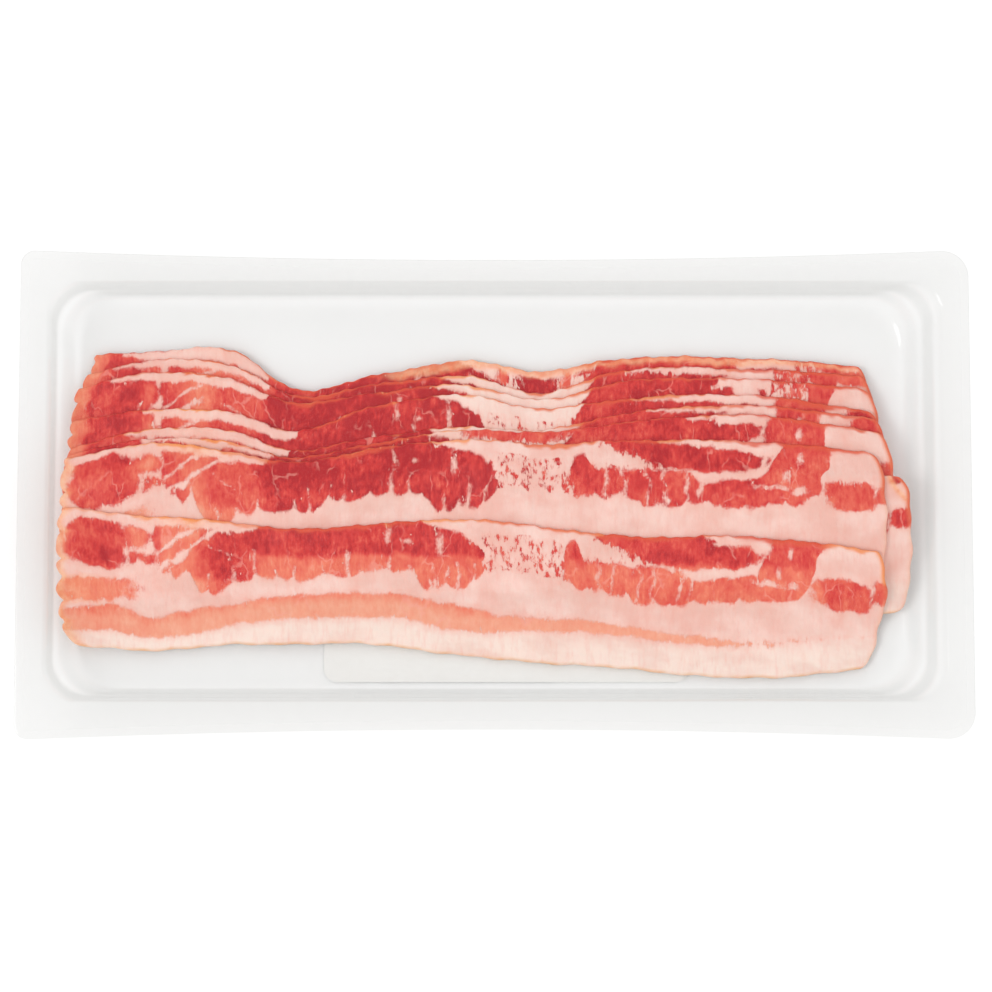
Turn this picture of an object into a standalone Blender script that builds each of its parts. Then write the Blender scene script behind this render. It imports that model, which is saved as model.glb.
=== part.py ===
"""Sealed tray pack of streaky bacon: clear tray, film lid, under-label and nine shingled slices.

Frame: metres, +Z up, +X along the tray, +Y towards its rear long side. The tray stands on Z = 0.
All constants are in millimetres and are scaled once, when a mesh is made.
"""

import math

import bmesh
import bpy
import numpy as np

MM = 0.001

# Tray
trayTop = 17.0
wallThick = 0.5
flangeHalfX = 138.0
flangeHalfY = 71.2
flangeBow = 3.0
cornerLeft = 4.3
cornerRight = 8.0
cornerSteps = 5
sideSteps = 7
labelRecess = 0.75

# Inner faces from the mouth down: left x, right x, front y, rear y, corner radius, height
innerRings = (
    (-130.2, 130.2, -60.0, 62.0, 8.0, trayTop),
    (-129.8, 129.2, -59.8, 61.8, 8.0, 15.5),
    (-129.3, 128.0, -59.6, 61.5, 8.0, 15.1),
    (-128.6, 125.6, -59.0, 61.0, 8.4, 7.6),
    (-127.4, 124.6, -58.8, 60.8, 8.4, 7.2),
    (-124.8, 121.6, -58.2, 60.3, 8.8, 1.0),
    (-124.0, 120.8, -57.6, 59.8, 8.8, 0.5),
)
panelOuter = (-117.4, 111.6, -56.2, 51.4, 8.0)
panelInner = (-116.4, 110.6, -55.4, 50.6, 7.2)

# Film lid, laid on the flange inside the tray's outer edge
filmInset = 2.4
filmGap = 0.3
filmThick = 0.2

# Label under the raised floor panel
labelBox = (-50.0, 57.0, -54.0, 14.0)
labelCorner = 4.0
labelBottom = 0.25
labelThick = 0.2

# Slices, from the bottom one at the rear to the top one at the front
sliceThick = 1.1
sliceGap = 0.31
sliceWidth = 43.0
stations = (-124, -101, -76, -61, -35, -8, 14, 35, 75, 113)
alongSteps = 28
acrossSteps = 6
slices = (
    {
        "name": "slice_9_rear",
        "ends": (-119.5, 111.5),
        "rear": (39.6, 44.0, 43.0, 33.1, 36.5, 40.8, 37.7, 41.2, 41.5, 38.8),
    },
    {
        "name": "slice_8",
        "ends": (-122.0, 112.5),
        "rear": (35.7, 40.7, 38.7, 30.8, 33.6, 36.0, 31.0, 37.2, 38.0, 35.9),
    },
    {
        "name": "slice_7",
        "ends": (-124.4, 113.5),
        "rear": (31.9, 36.9, 34.4, 28.4, 31.0, 33.2, 28.8, 33.8, 34.9, 31.6),
    },
    {
        "name": "slice_6",
        "ends": (-125.4, 114.5),
        "rear": (22.6, 25.5, 24.6, 19.6, 26.8, 30.0, 26.0, 28.6, 30.0, 24.9),
    },
    {
        "name": "slice_5",
        "ends": (-125.8, 115.5),
        "rear": (14.4, 19.6, 18.9, 13.8, 17.5, 20.4, 19.4, 23.9, 26.8, 22.6),
    },
    {
        "name": "slice_4",
        "ends": (-126.2, 117.0),
        "rear": (12.3, 16.7, 15.4, 11.4, 15.5, 19.4, 18.6, 21.2, 23.8, 18.5),
    },
    {
        "name": "slice_3",
        "ends": (-124.0, 122.2),
        "rear": (5.6, 7.9, 7.0, 5.0, 7.2, 9.6, 9.4, 8.4, 7.4, 5.9),
        "width": 40.0,
    },
    {
        "name": "slice_2",
        "ends": (-126.6, 114.5),
        "rear": (10.8, 15.2, 12.6, 9.7, 13.7, 16.3, 14.9, 15.9, 15.8, 12.3),
    },
    {
        "name": "slice_1_front",
        "ends": (-127.4, 114.5),
        "rear": (-3.8, -6.2, -8.0, -10.0, -8.6, -7.2, -9.4, -11.9, -12.3, -16.4),
        "front": (-43.6, -44.9, -43.3, -43.1, -43.2, -46.6, -48.5, -50.0, -53.0, -49.9),
    },
)

fieldStep = 1.0
fieldHalfX = 140
fieldHalfY = 75


def clear_scene():
    for found in list(bpy.data.objects):
        bpy.data.objects.remove(found, do_unlink=True)


def material(name, colour, roughness, alpha=1.0, transmission=0.0):
    made = bpy.data.materials.new(name)
    made.use_nodes = True
    shader = made.node_tree.nodes["Principled BSDF"]
    shader.inputs["Base Color"].default_value = (*colour, 1.0)
    shader.inputs["Roughness"].default_value = roughness
    shader.inputs["Alpha"].default_value = alpha
    shader.inputs["Transmission Weight"].default_value = transmission
    return made


def outline(box, radii, bow=0.0):
    """Anticlockwise rounded rectangle; its long sides may bow inwards by bow at their middles."""
    left, right, front, rear = box
    rightR, leftR = radii
    corners = (
        (right - rightR, front + rightR, rightR, -90.0),
        (right - rightR, rear - rightR, rightR, 0.0),
        (left + leftR, rear - leftR, leftR, 90.0),
        (left + leftR, front + leftR, leftR, 180.0),
    )
    points = []
    for index, (cx, cy, radius, start) in enumerate(corners):
        arc = []
        for step in range(cornerSteps + 1):
            angle = math.radians(start + 90.0 * step / cornerSteps)
            arc.append((cx + radius * math.cos(angle), cy + radius * math.sin(angle)))
        points.extend(arc)
        ncx, ncy, nradius, nstart = corners[(index + 1) % 4]
        angle = math.radians(nstart)
        target = (ncx + nradius * math.cos(angle), ncy + nradius * math.sin(angle))
        for step in range(1, sideSteps + 1):
            part = step / (sideSteps + 1)
            points.append(
                (
                    arc[-1][0] + (target[0] - arc[-1][0]) * part,
                    arc[-1][1] + (target[1] - arc[-1][1]) * part,
                )
            )
    made = np.array(points)
    if bow:
        middle = np.clip(1.0 - (made[:, 0] / right) ** 2, 0.0, 1.0)
        made[:, 1] -= np.sign(made[:, 1]) * bow * middle * (np.abs(made[:, 1]) > rear * 0.7)
    return made


def new_object(name, verts, faces, mat):
    mesh = bpy.data.meshes.new(name)
    mesh.from_pydata([tuple(MM * float(value) for value in vert) for vert in verts], [], faces)
    mesh.materials.append(mat)
    made = bpy.data.objects.new(name, mesh)
    bpy.context.scene.collection.objects.link(made)
    work = bmesh.new()
    work.from_mesh(mesh)
    bmesh.ops.recalc_face_normals(work, faces=work.faces)
    work.to_mesh(mesh)
    work.free()
    return made


def lofted(name, rings, mat):
    """A closed body through equal rings of (x, y, z); the first and last are capped."""
    count = len(rings[0])
    verts = [tuple(point) for ring in rings for point in ring]
    faces = []
    for level in range(len(rings) - 1):
        base = level * count
        for index in range(count):
            after = (index + 1) % count
            faces.append((base + index, base + after, base + count + after, base + count + index))
    for base, ring in ((0, rings[0]), ((len(rings) - 1) * count, rings[-1])):
        middle = len(verts)
        verts.append(tuple(np.mean(ring, axis=0)))
        for index in range(count):
            faces.append((base + index, base + (index + 1) % count, middle))
    return new_object(name, verts, faces, mat)


def at_height(ring, height):
    return np.column_stack([ring, np.full(len(ring), height)])


def grown(ring, by):
    """The ring (left, right, front, rear, radius) moved outwards."""
    left, right, front, rear, radius = ring
    return (left - by, right + by, front - by, rear + by, radius + by)


def simple_outline(ring):
    return outline(ring[:4], (ring[4], ring[4]))


def flange_outline(inset):
    box = (
        -flangeHalfX + inset,
        flangeHalfX - inset,
        -flangeHalfY + inset,
        flangeHalfY - inset,
    )
    return outline(box, (cornerRight - inset * 0.6, cornerLeft - inset * 0.6), flangeBow)


def build_tray(mat):
    rings = [at_height(flange_outline(0.0), trayTop)]
    for *ring, height in innerRings:
        rings.append(at_height(simple_outline(ring), height))
    rings.append(at_height(simple_outline(panelOuter), wallThick))
    rings.append(at_height(simple_outline(panelInner), wallThick + labelRecess))
    under = [
        at_height(simple_outline(grown(panelInner, -wallThick)), labelRecess),
        at_height(simple_outline(grown(panelOuter, -wallThick)), 0.0),
    ]
    for *ring, height in reversed(innerRings):
        by = wallThick * (0.4 if height == wallThick else 1.0)
        under.append(at_height(simple_outline(grown(ring, by)), height - wallThick))
    under.append(at_height(flange_outline(0.0), trayTop - wallThick))
    # From the panel's top out over the flange and back under to the panel's underside
    return lofted("tray", rings[::-1] + under[::-1], mat)


def build_film(mat):
    ring = flange_outline(filmInset)
    bottom = trayTop + filmGap
    return lofted("film", [at_height(ring, bottom), at_height(ring, bottom + filmThick)], mat)


def build_label(mat):
    ring = outline(labelBox, (labelCorner, labelCorner))
    return lofted(
        "label", [at_height(ring, labelBottom), at_height(ring, labelBottom + labelThick)], mat
    )


def rounded_distance(x, y, ring):
    left, right, front, rear, radius = ring
    dx = np.abs(x - (left + right) / 2) - (right - left) / 2 + radius
    dy = np.abs(y - (front + rear) / 2) - (rear - front) / 2 + radius
    outside = np.hypot(np.maximum(dx, 0), np.maximum(dy, 0))
    return outside + np.minimum(np.maximum(dx, dy), 0) - radius


def tray_height(x, y):
    """Height of the tray's inner face over the plan."""
    rings = [(ring[:5], ring[5]) for ring in innerRings]
    rings.append((panelOuter, wallThick))
    rings.append((panelInner, wallThick + labelRecess))
    height = np.full(x.shape, trayTop)
    for (outer, high), (inner, low) in zip(rings, rings[1:]):
        inside = -rounded_distance(x, y, outer)
        beyond = rounded_distance(x, y, inner)
        part = np.clip(inside / np.maximum(inside + beyond, 1e-6), 0, 1)
        height = np.where(inside > 0, high + (low - high) * np.where(beyond > 0, part, 1.0), height)
    return height


def eased(x, values):
    """A smooth curve through the values at the stations."""
    slopes = np.gradient(np.array(values, float), stations)
    index = np.clip(np.searchsorted(stations, x) - 1, 0, len(stations) - 2)
    places = np.array(stations, float)
    width = places[index + 1] - places[index]
    part = np.clip((x - places[index]) / width, 0, 1)
    here = np.array(values)[index]
    after = np.array(values)[index + 1]
    bend = part * part * (3 - 2 * part)
    lean = part * (1 - part) * width * (slopes[index] * (1 - part) - slopes[index + 1] * part)
    return here + (after - here) * bend + lean


def plan_points(form):
    """Plan position of every vertex of a slice: along index, then across index."""
    left, right = form["ends"]
    rear = np.array(form["rear"])
    evened = np.polyval(np.polyfit(stations, rear, 2), stations)
    hidden = 0.35 * rear + 0.65 * evened - form.get("width", sliceWidth)
    front = form.get("front", hidden)
    along = np.linspace(0, 1, alongSteps + 1)
    across = np.linspace(0, 1, acrossSteps + 1)
    s, t = np.meshgrid(along, across, indexing="ij")
    bend = 1.0 - (1.0 - np.abs(2 * t - 1) ** 2.6) ** (1 / 2.6)
    startX = left + 8.0 * bend
    endX = right - 7.0 * bend
    x = startX + (endX - startX) * s
    low = eased(x, front)
    high = eased(x, rear)
    return np.stack([x, low + (high - low) * t], axis=-1)


def grid_triangles():
    rows = acrossSteps + 1
    made = []
    for i in range(alongSteps):
        for j in range(acrossSteps):
            a = i * rows + j
            b = a + rows
            made.append((a, b, b + 1))
            made.append((a, b + 1, a + 1))
    return np.array(made)


def sample_triangles(plan, triangles, margin):
    """Which points of the height field each triangle covers, with their weights."""
    found = []
    for triangle in triangles:
        a, b, c = plan[triangle]
        low = np.floor((np.minimum(np.minimum(a, b), c) - margin) / fieldStep).astype(int)
        high = np.ceil((np.maximum(np.maximum(a, b), c) + margin) / fieldStep).astype(int)
        gx, gy = np.meshgrid(
            np.arange(low[0], high[0] + 1), np.arange(low[1], high[1] + 1), indexing="ij"
        )
        gx = np.clip(gx.ravel(), -fieldHalfX, fieldHalfX)
        gy = np.clip(gy.ravel(), -fieldHalfY, fieldHalfY)
        px = gx * fieldStep - a[0]
        py = gy * fieldStep - a[1]
        area = (b[0] - a[0]) * (c[1] - a[1]) - (c[0] - a[0]) * (b[1] - a[1])
        v = (px * (c[1] - a[1]) - (c[0] - a[0]) * py) / area
        w = ((b[0] - a[0]) * py - px * (b[1] - a[1])) / area
        weights = np.column_stack([1 - v - w, v, w])
        slack = margin / max(math.sqrt(abs(area)), 1.0)
        keep = (weights > -slack).all(axis=1)
        found.append((gx[keep] + fieldHalfX, gy[keep] + fieldHalfY, weights[keep]))
    return found


def drape(plan, field, triangles, samples):
    """Heights of a slice's underside: let down, smoothed, and kept above what lies below."""
    shape = (alongSteps + 1, acrossSteps + 1)
    lower = np.full(len(plan), -1e9)
    for triangle, (gx, gy, weights) in zip(triangles, samples):
        if len(gx):
            near = field[gx, gy] + sliceGap
            for corner in range(3):
                close = weights[:, corner] > 0.55
                if close.any():
                    lower[triangle[corner]] = max(lower[triangle[corner]], near[close].max())
    missing = lower < -1e8
    ix = np.clip(np.rint(plan[:, 0]).astype(int) + fieldHalfX, 0, 2 * fieldHalfX)
    iy = np.clip(np.rint(plan[:, 1]).astype(int) + fieldHalfY, 0, 2 * fieldHalfY)
    lower[missing] = field[ix, iy][missing] + sliceGap
    height = lower.copy()
    for turn in range(200):
        grid = height.reshape(shape)
        padded = np.pad(grid, 1, mode="edge")
        around = padded[:-2, 1:-1] + padded[2:, 1:-1] + padded[1:-1, :-2] + padded[1:-1, 2:]
        height = (0.5 * grid + 0.125 * around).ravel() - 0.25
        height = np.maximum(height, lower)
    for turn in range(60):
        worst = 0.0
        lift = np.zeros(len(plan))
        for triangle, (gx, gy, weights) in zip(triangles, samples):
            if not len(gx):
                continue
            short = (field[gx, gy] + sliceGap - weights @ height[triangle]).max()
            if short > 0:
                worst = max(worst, short)
                lift[triangle] = np.maximum(lift[triangle], short)
        if worst < 1e-4:
            break
        height = height + lift * 0.7
    return height


def build_slice(form, field, triangles, mat):
    plan = plan_points(form).reshape(-1, 2)
    samples = sample_triangles(plan, triangles, 0.6)
    height = drape(plan, field, triangles, samples)
    for triangle, (gx, gy, weights) in zip(triangles, samples):
        top = weights @ height[triangle] + sliceThick
        np.maximum.at(field, (gx, gy), top)
    count = len(plan)
    verts = np.vstack(
        [np.column_stack([plan, height]), np.column_stack([plan, height + sliceThick])]
    )
    faces = [tuple(int(v) for v in triangle[::-1]) for triangle in triangles]
    faces += [tuple(int(v) + count for v in triangle) for triangle in triangles]
    rows = acrossSteps + 1
    edge = [i * rows for i in range(alongSteps + 1)]
    edge += [alongSteps * rows + j for j in range(1, rows)]
    edge += [i * rows + acrossSteps for i in range(alongSteps - 1, -1, -1)]
    edge += [j for j in range(acrossSteps - 1, 0, -1)]
    for here, after in zip(edge, edge[1:] + edge[:1]):
        faces.append((here, after, after + count, here + count))
    print(form["name"], "top", round(float(height.max() + sliceThick), 2))
    return new_object(form["name"], verts, faces, mat)


clear_scene()
clearPlastic = material("tray_plastic", (0.93, 0.94, 0.95), 0.12, 0.25, 0.9)
filmPlastic = material("film_plastic", (0.97, 0.98, 0.98), 0.08, 0.12, 0.95)
labelPaper = material("label_paper", (0.93, 0.93, 0.92), 0.6)

build_tray(clearPlastic)
build_film(filmPlastic)
build_label(labelPaper)

gridX, gridY = np.meshgrid(
    np.arange(-fieldHalfX, fieldHalfX + 1) * fieldStep,
    np.arange(-fieldHalfY, fieldHalfY + 1) * fieldStep,
    indexing="ij",
)
heightField = tray_height(gridX, gridY)
sliceTriangles = grid_triangles()
for place, sliceForm in enumerate(slices):
    tone = 0.02 * (place % 3)
    meat = material(sliceForm["name"] + "_meat", (0.72 - tone, 0.30 + tone, 0.27), 0.35)
    build_slice(sliceForm, heightField, sliceTriangles, meat)
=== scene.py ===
import math

import bmesh
import bpy
import numpy as np
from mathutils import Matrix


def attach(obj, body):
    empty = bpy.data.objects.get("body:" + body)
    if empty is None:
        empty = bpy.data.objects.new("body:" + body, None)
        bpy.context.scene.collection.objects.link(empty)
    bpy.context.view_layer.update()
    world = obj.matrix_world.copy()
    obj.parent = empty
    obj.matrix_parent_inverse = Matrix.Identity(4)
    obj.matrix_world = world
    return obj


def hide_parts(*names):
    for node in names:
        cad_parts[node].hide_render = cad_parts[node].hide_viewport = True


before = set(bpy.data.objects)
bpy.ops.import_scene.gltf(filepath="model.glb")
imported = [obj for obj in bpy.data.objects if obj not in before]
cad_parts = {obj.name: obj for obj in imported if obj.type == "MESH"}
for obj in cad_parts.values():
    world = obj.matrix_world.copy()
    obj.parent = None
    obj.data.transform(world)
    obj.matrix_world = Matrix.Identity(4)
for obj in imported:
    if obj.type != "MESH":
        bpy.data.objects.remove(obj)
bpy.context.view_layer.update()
mm = 0.001
print("frame loaded:", len(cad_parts), "nodes")


def eased(x, places, values):
    # A smooth curve through the values at the places
    places = np.asarray(places, float)
    values = np.asarray(values, float)
    slopes = np.gradient(values, places)
    index = np.clip(np.searchsorted(places, x) - 1, 0, len(places) - 2)
    width = places[index + 1] - places[index]
    part = np.clip((x - places[index]) / width, 0, 1)
    bend = part * part * (3 - 2 * part)
    lean = part * (1 - part) * width * (slopes[index] * (1 - part) - slopes[index + 1] * part)
    return values[index] + (values[index + 1] - values[index]) * bend + lean


def easedLine(x, line):
    return eased(x, [point[0] for point in line], [point[1] for point in line])


def ripple(x, seed, height, lengths):
    # One wave of each length, each with its own random start
    rng = np.random.default_rng(seed)
    total = np.zeros_like(x, dtype=float)
    for length in lengths:
        total += np.sin(2 * math.pi * (x / length + rng.random())) / len(lengths)
    return height * total


waves = {"count": 5, "shortest": 0.7, "spread": 0.8, "calm": 2.2}


def swirl(x, y, seed, length, height):
    # Waves of about one length that cross in random directions
    rng = np.random.default_rng(seed)
    total = np.zeros_like(x, dtype=float)
    for turn in range(waves["count"]):
        angle = 2 * math.pi * rng.random()
        size = length * (waves["shortest"] + waves["spread"] * rng.random())
        along = x * math.cos(angle) + y * math.sin(angle)
        total += np.sin(2 * math.pi * (along / size + rng.random()))
    return total * height / waves["calm"]


def smooth(x, low, high):
    part = np.clip((x - low) / (high - low), 0, 1)
    return part * part * (3 - 2 * part)


def fall(x, low, high):
    return 1 - smooth(x, low, high)


def plateau(x, low, risen, falls, gone):
    # Rises from 0 to 1 between the first two, and falls back between the last two
    return smooth(x, low, risen) * fall(x, falls, gone)


def meshObject(name, points, faces, material):
    mesh = bpy.data.meshes.new(name)
    mesh.vertices.add(len(points))
    mesh.vertices.foreach_set("co", np.asarray(points, np.float32).ravel() * mm)
    faces = np.asarray(faces, np.int32)
    sides = faces.shape[1]
    mesh.loops.add(faces.size)
    mesh.loops.foreach_set("vertex_index", faces.ravel())
    mesh.polygons.add(len(faces))
    mesh.polygons.foreach_set("loop_start", np.arange(0, faces.size, sides, dtype=np.int32))
    mesh.polygons.foreach_set("use_smooth", np.ones(len(faces), bool))
    mesh.update(calc_edges=True)
    mesh.validate()
    mesh.materials.append(material)
    made = bpy.data.objects.new(name, mesh)
    bpy.context.scene.collection.objects.link(made)
    return made


def settlePiece(piece, node):
    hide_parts(node)
    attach(piece, "root")


class Tree:
    # A short way to write a node tree: each call adds one node and links its inputs
    def __init__(self, material):
        material.use_nodes = True
        self.tree = material.node_tree
        self.tree.nodes.clear()
        self.count = 0

    def fill(self, socket, value):
        if isinstance(value, bpy.types.NodeSocket):
            self.tree.links.new(value, socket)
        else:
            socket.default_value = value

    def put(self, kind, settings=None, **inputs):
        # i0, i1 and so on are sockets by number, and other names are sockets by name
        node = self.tree.nodes.new("ShaderNode" + kind)
        node.location = (180 * (self.count % 12), -220 * (self.count // 12))
        self.count += 1
        for key, value in (settings or {}).items():
            setattr(node, key, value)
        for key, value in inputs.items():
            numbered = key[0] == "i" and key[1:].isdigit()
            self.fill(node.inputs[int(key[1:]) if numbered else key.replace("_", " ")], value)
        return node

    def maths(self, operation, a, b=0.0, c=0.0, clamp=False):
        settings = {"operation": operation, "use_clamp": clamp}
        return self.put("Math", settings, i0=a, i1=b, i2=c).outputs[0]

    def times(self, a, b):
        return self.maths("MULTIPLY", a, b)

    def added(self, a, share, base, clamp=False):
        return self.maths("MULTIPLY_ADD", a, share, base, clamp)

    def centred(self, grain):
        return self.maths("SUBTRACT", grain, 0.5)

    def spread(self, value, low, high, start=0.0, end=1.0):
        settings = {"interpolation_type": "SMOOTHSTEP"}
        node = self.put("MapRange", settings, i0=value, i1=low, i2=high, i3=start, i4=end)
        return node.outputs[0]

    def blend(self, share, a, b):
        settings = {"data_type": "RGBA", "blend_type": "MIX"}
        return self.put("Mix", settings, i0=share, i6=a, i7=b).outputs[2]

    def vector(self, operation, a, b, c=(0.0, 0.0, 0.0)):
        return self.put("VectorMath", {"operation": operation}, i0=a, i1=b, i2=c).outputs[0]

    def named(self, name, kind="Fac"):
        return self.put("Attribute", {"attribute_name": name}).outputs[kind]

    def noise(self, where, scale, detail=2.0, roughness=0.5, stretch=None):
        if stretch:
            where = self.vector("MULTIPLY", where, stretch)
        node = self.put("TexNoise", Vector=where, Scale=scale, Detail=detail,
                        Roughness=roughness)
        return node.outputs[0]

    def finish(self, shader):
        self.put("OutputMaterial", Surface=shader.outputs[0])


def tone(red, green, blue):
    # An sRGB colour in 0 to 255, as the linear colour that a socket takes
    linear = []
    for value in (red, green, blue):
        value /= 255
        linear.append(value / 12.92 if value <= 0.04045 else ((value + 0.055) / 1.055) ** 2.4)
    return (*linear, 1.0)


plastic = {
    "slant": (0.02, 0.80),  # from seen square on to seen from the side, over which the painted slant shade grows
    "cloudScale": 38.0,
    "cloudLift": 1.02,
    "waveScale": 22.0,
    "waveStrength": 0.25,
    "waveHeight": 0.0006,
}


def clearPlastic(name, sheet):
    # Clear and tinted, darker at a slant and shinier at a low angle. The darkening at a slant is partly
    # the longer path through the sheet and partly painted shade standing in for dark surroundings seen
    # through the walls
    material = bpy.data.materials.new(name)
    tree = Tree(material)
    facing = tree.put("LayerWeight", Blend=0.5).outputs["Facing"]
    depth = tree.spread(facing, *plastic["slant"])
    coords = tree.put("TexCoord").outputs["Object"]
    cloudy = tree.noise(coords, plastic["cloudScale"], 3.0)
    lifted = tuple(min(1.0, part * plastic["cloudLift"]) for part in sheet["clear"])
    tint = tree.blend(cloudy, sheet["clear"], lifted)
    if "rim" in sheet:
        high = tree.put("SeparateXYZ", i0=coords).outputs[2]
        tint = tree.blend(tree.spread(high, *sheet["rimHeights"]), tint, sheet["rim"])
    # Painted shade: the tint darkens towards the slant shade colour where the sheet is seen at a slant
    tint = tree.blend(depth, tint, sheet["slantShade"])
    see = tree.put("BsdfTransparent", Color=tint)
    wavy = tree.noise(coords, plastic["waveScale"], 2.0)
    bump = tree.put("Bump", Strength=plastic["waveStrength"],
                    Distance=plastic["waveHeight"], Height=wavy)
    shine = tree.put("BsdfGlossy", Roughness=sheet["gloss"], Normal=bump.outputs[0])
    shine.inputs["Color"].default_value = (1, 1, 1, 1)
    # The same from both sides of the sheet, where a Fresnel node would turn opaque from behind
    turned = tree.put("LayerWeight", Blend=0.5, Normal=bump.outputs[0])
    rise = tree.maths("POWER", turned.outputs["Facing"], 5.0)
    mirror = tree.added(rise, sheet["grazing"], sheet["headOn"])
    tree.finish(tree.put("MixShader", i0=mirror, i1=see.outputs[0], i2=shine.outputs[0]))
    return material


tray = {
    "top": 17.0,
    "halfX": 138.0,
    "halfY": 71.2,
    "bow": 3.0,  # how far the flange's long sides curve in at the middle
    "cornerLeft": 4.3,
    "cornerRight": 8.0,
    "cornerShrink": 0.6,  # how much a corner's radius loses for each millimetre of inset
    "cornerLeast": 0.5,
    "cornerSteps": 12,
    "sideSteps": 30,
    "lip": ((0.0, -0.5), (0.0, -0.1), (0.15, 0.0), (1.2, 0.0)),  # inset, height from the top
    "flangeInset": 4.0,
    "floor": 0.5,
    "panel": 0.9,
    "panelRest": 1.25,  # where the slices lie on the panel
    "foldStep": 0.7,
    "foldPasses": 4,
    # left x, right x, front y, rear y, corner radius, height, from the mouth down
    "rings": (
        (-130.2, 130.2, -60.0, 62.0, 9.0, 17.0),
        (-129.8, 129.2, -59.8, 61.8, 9.5, 15.5),
        (-129.3, 128.0, -59.5, 61.5, 10.0, 15.1),
        (-128.6, 125.6, -58.4, 61.0, 11.5, 7.6),
        (-127.4, 124.6, -58.0, 60.8, 12.0, 7.2),
        (-125.0, 122.0, -57.2, 60.2, 13.5, 3.0),
        (-124.0, 120.8, -56.4, 58.9, 14.5, 1.4),
        (-122.6, 119.4, -55.9, 57.4, 15.0, 0.7),
        (-120.6, 117.2, -55.4, 55.2, 14.0, 0.5),
    ),
    "panelOuter": (-117.4, 111.6, -54.8, 51.4, 9.0),
    "panelInner": (-111.4, 105.6, -49.6, 45.4, 7.0),
    "clear": (0.945, 0.945, 0.942, 1),
    # tint seen at a slant: partly the longer path through the plastic, partly painted shade
    "slantShade": (0.80, 0.80, 0.79, 1),
    "rim": (0.890, 0.890, 0.883, 1),
    "rimHeights": (0.0145, 0.0167),
    "gloss": 0.10,
    "headOn": 0.023,
    "grazing": 0.7,
}


def arcPoint(corner, step):
    cx, cy, radius, start = corner
    angle = math.radians(start + 90.0 * step / tray["cornerSteps"])
    return np.array((cx + radius * math.cos(angle), cy + radius * math.sin(angle)))


def roundedOutline(box, rightRadius, leftRadius, bow=0.0):
    left, right, front, rear = box
    corners = (
        (right - rightRadius, front + rightRadius, rightRadius, -90.0),
        (right - rightRadius, rear - rightRadius, rightRadius, 0.0),
        (left + leftRadius, rear - leftRadius, leftRadius, 90.0),
        (left + leftRadius, front + leftRadius, leftRadius, 180.0),
    )
    points = []
    for index, corner in enumerate(corners):
        points += [arcPoint(corner, step) for step in range(tray["cornerSteps"] + 1)]
        last, target = points[-1], arcPoint(corners[(index + 1) % 4], 0)
        for step in range(1, tray["sideSteps"] + 1):
            points.append(last + (target - last) * (step / (tray["sideSteps"] + 1)))
    made = np.array(points)
    if bow:
        middle = np.clip(1.0 - (made[:, 0] / right) ** 2, 0.0, 1.0)
        longSides = np.abs(made[:, 1]) > rear * 0.7
        made[:, 1] -= np.sign(made[:, 1]) * bow * middle * longSides
    return made


def flangeOutline(inset):
    halfX, halfY = tray["halfX"] - inset, tray["halfY"] - inset
    shrunk = [max(tray[corner] - inset * tray["cornerShrink"], tray["cornerLeast"])
              for corner in ("cornerRight", "cornerLeft")]
    return roundedOutline((-halfX, halfX, -halfY, halfY), *shrunk, tray["bow"])


def ringOutline(ring):
    return roundedOutline(ring[:4], ring[4], ring[4])


def loft(name, rings, material, capFirst=True):
    # Faces from ring to ring, with the last ring closed by one flat face
    count = len(rings[0][0])
    points = np.vstack([np.column_stack([ring, np.zeros(count) + height]) for ring, height in rings])
    faces = []
    index = np.arange(count)
    after = (index + 1) % count
    for level in range(len(rings) - 1):
        base = level * count
        faces.append(np.column_stack([base + index, base + after, base + count + after,
                                      base + count + index]))
    made = meshObject(name, points, np.vstack(faces), material)
    caps = [index] if capFirst else []
    caps.append(index + (len(rings) - 1) * count)
    work = bmesh.new()
    work.from_mesh(made.data)
    work.verts.ensure_lookup_table()
    for cap in caps:
        face = work.faces.new([work.verts[int(i)] for i in cap])
        face.smooth = False
    bmesh.ops.recalc_face_normals(work, faces=work.faces)
    work.to_mesh(made.data)
    work.free()
    return made


def foldedRings():
    # The tray's one skin, from the flange's lip inwards and down to the raised panel. Closer
    # rings are put between the given ones and then evened out, so that every fold is a soft round
    lip = [(flangeOutline(inset), tray["top"] + rise) for inset, rise in tray["lip"]]
    given = [(flangeOutline(tray["flangeInset"]), tray["top"])]
    given.extend((ringOutline(ring), ring[5]) for ring in tray["rings"])
    given.append((ringOutline(tray["panelOuter"]), tray["floor"]))
    given.append((ringOutline(tray["panelInner"]), tray["panel"]))
    given = [np.column_stack([points, np.full(len(points), height)]) for points, height in given]
    close = [given[0]]
    for here, after in zip(given, given[1:]):
        far = float(np.median(np.linalg.norm(after - here, axis=1)))
        steps = max(1, int(round(far / tray["foldStep"])))
        for step in range(1, steps + 1):
            close.append(here + (after - here) * step / steps)
    close = np.array(close)
    for turn in range(tray["foldPasses"]):
        close[1:-1] = 0.5 * close[1:-1] + 0.25 * (close[:-2] + close[2:])
    return lip + [(ring[:, :2], ring[:, 2]) for ring in close]


trayPiece = loft("clearTray", foldedRings(), clearPlastic("trayPlastic", tray), capFirst=False)
settlePiece(trayPiece, "tray")
print("tray made")

film = {
    "insets": (2.4, 3.2, 5.0, 8.0, 10.5),
    "height": 17.36,
    "sag": 0.25,
    "sagShares": (0.2, 0.4, 0.6, 0.8),
    "clear": (0.995, 0.995, 0.995, 1),
    # tint seen at a slant: partly the longer path through the film, partly painted shade
    "slantShade": (0.95, 0.95, 0.95, 1),
    "gloss": 0.10,
    "headOn": 0.003,
    "grazing": 0.45,
}


def filmRings():
    # Flat on the flange, then sagging a little towards the middle
    rings = [(flangeOutline(inset), film["height"]) for inset in film["insets"]]
    inner = rings[-1][0]
    for share in film["sagShares"]:
        rings.append((inner * (1 - share), film["height"] - film["sag"] * share))
    return rings


filmPiece = loft("lidFilm", filmRings(), clearPlastic("filmPlastic", film), capFirst=False)
settlePiece(filmPiece, "film")
print("film made")

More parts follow.
